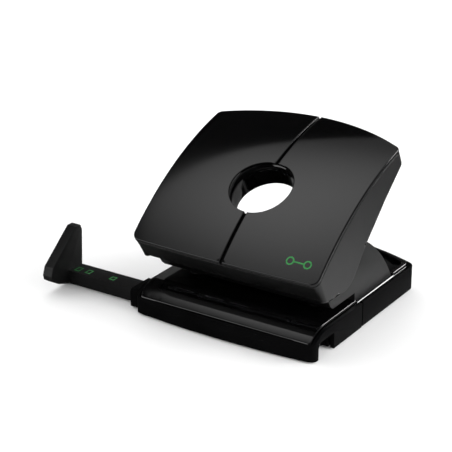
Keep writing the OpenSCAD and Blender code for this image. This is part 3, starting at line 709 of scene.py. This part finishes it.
lever = {
    "tilt": math.radians(28), "front": (-60.0, 47.5), "half": 60.6, "length": 103.6, "bow": 15.5,
    "frontBow": 0.8, "corner": 4.5, "archCentre": (55.2, -185.9), "archRadius": 193.6, "plate": 2.0,
    "skin": 2.2, "groove": 1.5, "grooveTrim": 0.4, "grooveCorner": 0.8, "fingerAt": 50.8, "finger": 18.7,
    "holeSteps": 60, "inside": (0, 60), "edge": 0.55, "step": 2.0, "grid": 3.0}
sleeve = {"gap": 0.05, "wall": 1.5, "depth": 17.5, "sides": 144, "footSteps": 9}


def archHeight(radius, lift=0.0):
    # height of the arched top over (x, u): w = cw + sqrt(radius^2 - (u - cu)^2) + lift
    cu, cw = lever["archCentre"]
    return lambda p: cw + np.sqrt(radius ** 2 - (p[:, 1] - cu) ** 2) + lift


def leverOutline(inset=0.0):
    # the lever seen from above its top, moved inwards by inset
    return planOutline(lever["half"] - inset, -inset, lever["frontBow"], lever["length"] - inset,
                       lever["bow"], lever["corner"] - inset / 2)


def halfPlate():
    # right half of the outline, cut along the groove and round the finger hole
    edge = leverOutline()
    g = lever["groove"] / 2
    right = edge[edge[:, 0] > g + lever["grooveTrim"]]
    order = np.argsort(np.arctan2(right[:, 1] - lever["inside"][1], right[:, 0] - lever["inside"][0]))
    right = right[order]
    r, at = lever["finger"], lever["fingerAt"]
    rise = math.degrees(math.acos(g / r))
    hole = arcPoints(0, at, r, rise, -rise, lever["holeSteps"])
    bowTop = lever["length"] + lever["bow"] * (1 - (g / lever["half"]) ** 2)
    bowFront = -lever["frontBow"] * (1 - (g / lever["half"]) ** 2)
    loop = np.vstack([right, [[g, bowTop]], hole, [[g, bowFront]]])
    return densify(filletLoop(loop, lever["grooveCorner"]), lever["step"])


def buildPlates():
    # two glossy skins, one the mirror image of the other
    radius = lever["archRadius"]
    points, faces = slab([halfPlate()], archHeight(radius), archHeight(radius - lever["plate"]),
                         roundEdge(lever["edge"]), lever["grid"])
    for side, sign in (("right", 1), ("left", -1)):
        turned = points * [sign, 1, 1]
        order = faces if sign > 0 else [f[::-1] for f in faces]
        covers = ["lever_plate_" + side]
        addPiece("glossPlate." + side, onLever(turned), order, "gloss_black", "lever", covers)


def buildSleeve():
    # ring turned about the finger hole's axis, with a round foot; its top follows the plates' underside
    a = np.linspace(0, 2 * math.pi, sleeve["sides"], endpoint=False)
    inner, outer = lever["finger"] + sleeve["gap"], lever["finger"] + sleeve["wall"]
    low = archHeight(lever["archRadius"])(np.array([[0, lever["fingerAt"]]]))[0] - sleeve["depth"]
    turn = np.radians(np.linspace(0, 180, sleeve["footSteps"]))
    middle, half = (inner + outer) / 2, (outer - inner) / 2
    radii = [outer, inner, inner, inner] + list(middle - half * np.cos(turn)) + [outer, outer]
    levels = [1, 1, 0.6, 0.2] + [0] * len(turn) + [0.4, 1]
    drops = [0] * 4 + list(half * np.sin(turn)) + [0, 0]
    rings = []
    for r, level, drop in zip(radii, levels, drops):
        flat = np.stack([r * np.cos(a), lever["fingerAt"] + r * np.sin(a)], 1)
        top = archHeight(lever["archRadius"] - lever["plate"])(flat)
        rings.append(np.column_stack([flat, low + level * (top - low) - drop]))
    n = len(a)
    i = np.arange(n)
    j = (i + 1) % n
    faces = []
    for k in range(len(rings)):
        m = (k + 1) % len(rings)
        faces += np.stack([k * n + i, m * n + i, m * n + j, k * n + j], 1)[:, ::-1].tolist()
    addPiece("fingerSleeve", onLever(np.vstack(rings)), faces, "gloss_black", "lever", ["finger_sleeve"])


shell = {
    "inset": 0.1, "wall": 1.8, "edge": 0.35, "seam": 0.5, "seamDepth": 0.95, "frontDraft": 0.225,
    "sideDraft": 0.018, "rear": -0.3, "rearDepth": -9.8, "sink": 0.02, "soften": 1.4, "step": 1.2,
    "outerLevels": (0.06, 0.97, 16), "innerLevels": (0.94, 0.25, 10), "footSteps": 9, "skinGap": 0.5,
    "holeSides": 144, "grid": 4.0,
    "skirt": [(0, -18.6), (4.2, -18.9), (6.5, -21.8), (23.7, -31), (31, -31.6), (38.6, -28.6), (45.3, -25.4),
              (53.8, -22.5), (65.4, -19.4), (78.3, -15.6), (103.6, -9.8), (130, -9.8)],
    "bosses": [(40.0, 40.0), (40.0, 60.0)], "bossRadius": 3.5, "bossFoot": -0.5, "bossTop": 1,
    "bossEdge": 0.3, "bossSides": 48, "bossGrid": 9.0}


def skirtFoot(u):
    # lower edge of the skirt, the mean of its straight pieces over a few millimetres
    us, ws = np.array(shell["skirt"]).T
    offsets = np.linspace(-shell["soften"], shell["soften"], 9)
    return np.mean([np.interp(u + o, us, ws) for o in offsets], 0)


def buildShell():
    # a drafted wall round the outline, a skin under the plates with the finger hole, and four bosses
    loop = densify(leverOutline(shell["inset"]), shell["step"])
    n = inwardMiter(loop)
    unit = n / np.linalg.norm(n, axis=1)[:, None]
    draft = shell["sideDraft"] * unit[:, 0] ** 2 + shell["frontDraft"] * np.maximum(unit[:, 1], 0) ** 2
    over = archHeight(lever["archRadius"] - lever["plate"], -shell["sink"])
    outerTop = over(loop)
    foot = np.where(unit[:, 1] < shell["rear"], shell["rearDepth"], skirtFoot(loop[:, 1]))
    e, wall = shell["edge"], shell["wall"]
    rings = []

    def ring(part, extra, lift=0.0):
        # w = top + part (foot - top) + lift, moved inwards by draft (top - w) + extra
        w = outerTop + part * (foot - outerTop) + lift
        inset = draft * (outerTop - w) + extra
        rings.append(np.column_stack([loop + n * inset[:, None], w]))

    gapTop, gapIn = shell["seam"], shell["seamDepth"]
    for inset, drop in ((gapIn, 0), (gapIn, 0.4 * gapTop), (gapIn, 0.9 * gapTop), (0.7 * gapIn, gapTop)):
        ring(0, inset, -drop)
    for x in np.radians(np.linspace(0, 90, meshing["edgeSteps"])):
        ring(0, e * (1 - math.sin(x)), -gapTop - e * (1 - math.cos(x)))
    for part in np.linspace(*shell["outerLevels"]):
        ring(part, 0)
    for x in np.radians(np.linspace(0, 180, shell["footSteps"])):
        ring(1, wall / 2 * (1 - math.cos(x)), wall / 2 * (1 - math.sin(x)))
    for part in np.linspace(*shell["innerLevels"]):
        ring(part, wall)
    inside = loop + n * (draft * (lever["skin"] + shell["skinGap"]) + wall)[:, None]
    under = archHeight(lever["archRadius"] - lever["plate"] - lever["skin"])
    rings.append(np.column_stack([inside, under(inside)]))
    count = len(loop)
    i = np.arange(count)
    j = (i + 1) % count
    faces = []
    for k in range(len(rings) - 1):
        m = k + 1
        faces += np.stack([k * count + i, m * count + i, m * count + j, k * count + j], 1).tolist()
    points = np.vstack(rings)
    sides = shell["holeSides"]
    hole = circle(0, lever["fingerAt"], lever["finger"] + sleeve["wall"], sides, True)
    holes = []
    for ringAt, height, flip in ((0, over, False), (len(rings) - 1, under, True)):
        edge = rings[ringAt][:, :2]
        grid, cap = capOf([edge, hole], shell["grid"])
        start = len(points)
        added = np.vstack([hole, grid])
        points = np.vstack([points, np.column_stack([added, height(added)])])
        index = np.concatenate([ringAt * count + np.arange(count), start + np.arange(len(added))])
        cap = index[cap]
        faces += (cap[:, ::-1] if flip else cap).tolist()
        holes.append(start)
    h = np.arange(len(hole))
    k = (h + 1) % len(hole)
    faces += np.stack([holes[0] + h, holes[1] + h, holes[1] + k, holes[0] + k], 1).tolist()
    parts = [(points, faces)]
    for x, u in shell["bosses"]:
        for sign in (1, -1):
            boss = circle(sign * x, u, shell["bossRadius"], shell["bossSides"])
            top = archHeight(lever["archRadius"] - lever["plate"] - shell["bossTop"])
            parts.append(slab([boss], top, level(shell["bossFoot"]), roundEdge(shell["bossEdge"]),
                              shell["bossGrid"]))
    points, faces = joinParts(parts)
    addPiece("leverShell", onLever(points), faces, "satin_black", "lever", ["lever_shell"])


# Deck

deck = {
    "half": 56.8, "front": 58.4, "back": 55.7, "bow": 13.5, "corner": 4.6, "nose": 2.0, "top": 17.8,
    "floor": 16.0, "skirt": 11.0, "roll": 20.0, "split": -7.0, "rimStart": 36.4,
    "rim": 2.6, "rimEdge": 0.7, "rimFoot": 0.02, "rimSink": 0.4, "rimCorner": 0.8, "rimSharp": 40,
    "edge": 0.5, "foot": 0.2, "thinnest": 0.9, "splitGap": 0.5, "step": 2.0,
    "tableGrid": 1.3, "floorGrid": 6.0, "rimGrid": 9.0,
    "dies": [(40.0, -21.0, 6.2), (-40.0, -21.0, 6.2)], "dieSides": 96}
flatSlab = [(0, "top", 0), (0, "bottom", 0)]


def deckTop(p):
    # flat table, then a bend of radius roll down to the front edge: z = top - r + sqrt(r^2 - back^2)
    r = deck["roll"]
    end = math.sqrt(r ** 2 - (r - deck["top"] + deck["skirt"]) ** 2)
    back = end - deck["front"] - p[:, 1]
    return deck["top"] - r + np.sqrt(r ** 2 - np.clip(back, 0, end) ** 2)


def clipLoop(loop, keep, line):
    # the part of the outline on one side of a line across, closed along that line
    side = loop[keep(loop[:, 1])]
    start = np.argmax(np.linalg.norm(side - np.roll(side, 1, 0), axis=1))
    side = np.roll(side, -start, 0)
    ends = np.array([[side[-1, 0], line], [side[0, 0], line]])
    return np.vstack([side, ends])


def buildDeck():
    # the punching table with its two holes, the lower floor behind it, and the rim round that floor
    split, rimStart, step = deck["split"], deck["rimStart"], deck["step"]
    half, front, back, bow, corner = (deck[k] for k in ("half", "front", "back", "bow", "corner"))
    edge = densify(planOutline(half, front, 0, back, bow, corner, deck["nose"]), step)
    table = densify(clipLoop(edge, lambda y: y < split - deck["splitGap"], split), step)
    holes = [circle(x, y, r, deck["dieSides"], True) for x, y, r in deck["dies"]]
    under = lambda p: np.minimum(deck["skirt"], deckTop(p) - deck["thinnest"])
    edges = roundEdge(deck["edge"], deck["foot"])
    parts = [slab([table] + holes, deckTop, under, edges, deck["tableGrid"])]
    floor = densify(clipLoop(edge, lambda y: y > split + deck["splitGap"], split), step)
    parts.append(slab([floor], level(deck["floor"]), level(deck["skirt"]), flatSlab, deck["floorGrid"]))
    rim = deck["rim"]
    inner = planOutline(half - rim, front, 0, back - rim, bow, corner - rim / 2)
    outside = clipLoop(edge, lambda y: y > rimStart, rimStart)
    inside = clipLoop(densify(inner, step), lambda y: y > rimStart, rimStart)
    rim = filletLoop(np.vstack([outside, inside[::-1]]), deck["rimCorner"], deck["rimSharp"])
    parts.append(slab([densify(rim, step)], level(deck["top"]), level(deck["floor"] - deck["rimSink"]),
                      roundEdge(deck["rimEdge"], deck["rimFoot"]), deck["rimGrid"]))
    points, faces = joinParts(parts)
    addPiece("deckTable", points, faces, "gloss_black", "base", ["deck"])


# Return springs

spring = {"turns": 4, "wire": 1.0, "perTurn": 36, "sides": 12}


def buildSprings():
    # a round wire along a helix in the CAD spring's box: with q = coil
    # radius + r cos b, x = q cos a, y = q sin a, z = foot + height a / (2 pi turns) + r sin b
    sides, rings = spring["sides"], spring["turns"] * spring["perTurn"]
    r = spring["wire"] / 2
    a = np.linspace(0, 2 * math.pi * spring["turns"], rings + 1)[:, None]
    b = np.linspace(0, 2 * math.pi, sides, endpoint=False)[None]
    i, j = np.arange(rings)[:, None] * sides, np.arange(sides)[None]
    k = (j + 1) % sides
    faces = np.stack([i + j, i + sides + j, i + sides + k, i + k], 2).reshape(-1, 4).tolist()
    faces += [list(range(sides)), [rings * sides + n for n in range(sides)][::-1]]
    for side in ("left", "right"):
        low, high = (np.array(corner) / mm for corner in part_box("return_spring_" + side))
        middle, coilR = (low + high) / 2, (high[0] - low[0]) / 2 - r
        q = coilR + r * np.cos(b)
        z = low[2] + r + (high[2] - low[2] - 2 * r) * a / a[-1] + r * np.sin(b)
        points = np.stack([middle[0] + q * np.cos(a), middle[1] + q * np.sin(a), z], 2).reshape(-1, 3)
        covers = ["return_spring_" + side]
        piece = addPiece("returnSpring." + side, points, faces, "ground_steel", None, covers)
        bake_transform(piece)


# Printed marks

marks = {
    "rings": [39.6, 50.4], "ringAt": 10.0, "ringOuter": 2.5, "ringInner": 1.6, "ringSides": 48, "bar": 0.45,
    "pages": [-112.6, -105.0, -87.4, -68.0], "pageAt": (-48.4, -43.0), "pageWide": 3.8,
    "pageStep": 0.5, "line": 0.8, "railTop": 10.2, "lift": 0.03, "step": 1.0}


def frameLoops(x0, y0, x1, y1, line):
    # outside and inside of a rectangular outline
    outer = np.array([(x0, y0), (x1, y0), (x1, y1), (x0, y1)], float)
    x0, y0, x1, y1 = x0 + line, y0 + line, x1 - line, y1 - line
    inner = np.array([(x0, y0), (x0, y1), (x1, y1), (x1, y0)], float)
    return [densify(outer, marks["step"]), densify(inner, marks["step"])]


def printOn(height, shapes):
    # thin ink, a little above the surface that it is printed on
    top, bottom = (lambda p: height(p) + marks["lift"]), (lambda p: height(p) - marks["lift"])
    return joinParts([slab(loops, top, bottom, flatSlab, marks["step"]) for loops in shapes])


def buildMarks():
    # two punched holes joined by a bar on the plate, and a page outline at each stop of the rail
    at, outer, inner, sides = marks["ringAt"], marks["ringOuter"], marks["ringInner"], marks["ringSides"]
    shapes = [[circle(x, at, outer, sides), circle(x, at, inner, sides)[::-1]] for x in marks["rings"]]
    x0, x1 = marks["rings"]
    bar = np.array([(x0 + outer, at - marks["bar"]), (x1 - outer, at - marks["bar"]),
                    (x1 - outer, at + marks["bar"]), (x0 + outer, at + marks["bar"])])
    shapes.append([densify(bar, marks["step"])])
    points, faces = printOn(archHeight(lever["archRadius"]), shapes)
    addPiece("plateMark", onLever(points), faces, "gloss_black", "lever", finish="print", smooth=False)
    y0, y1 = marks["pageAt"]
    pages = [frameLoops(x, y0 + i * marks["pageStep"], x + marks["pageWide"], y1, marks["line"])
             for i, x in enumerate(marks["pages"])]
    points, faces = printOn(level(marks["railTop"]), pages)
    addPiece("railMarks", points, faces, "base_black", "guide", finish="print", smooth=False)


# Rounded versions of the remaining mouldings

rounding = {
    "base_frame": 0.2, "chip_tray": 0.2, "punch_housing": 0.5, "paper_guide": 0.55, "rubber_feet": 0.15}
merging = {"distance": 2e-6, "flat": 0.4, "corner": 28, "segments": 3}


def roundedCopy(node, width):
    # the node's own shape, merged into clean faces, with rounded edges
    mesh = frame["nodes"][node].data.copy()
    mesh.name = node + "Round"
    work = bmesh.new()
    work.from_mesh(mesh)
    bmesh.ops.remove_doubles(work, verts=work.verts, dist=merging["distance"])
    flat = math.radians(merging["flat"])
    bmesh.ops.dissolve_limit(work, angle_limit=flat, verts=work.verts, edges=work.edges)
    work.to_mesh(mesh)
    work.free()
    mesh.polygons.foreach_set("use_smooth", [True] * len(mesh.polygons))
    piece = bpy.data.objects.new(node.replace("_", "") + ".round", mesh)
    bpy.context.scene.collection.objects.link(piece)
    bevel = piece.modifiers.new("edges", "BEVEL")
    bevel.width = width * mm
    bevel.segments = merging["segments"]
    bevel.limit_method = "ANGLE"
    bevel.angle_limit = math.radians(merging["corner"])
    bevel.use_clamp_overlap = True
    bevel.harden_normals = True
    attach(piece, bodyOf[node])
    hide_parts(node)
    return piece


buildPlates()
buildSleeve()
buildShell()
print("lever done")
buildDeck()
print("deck done")
for name, width in rounding.items():
    roundedCopy(name, width)
print("mouldings done")
buildSprings()
buildMarks()
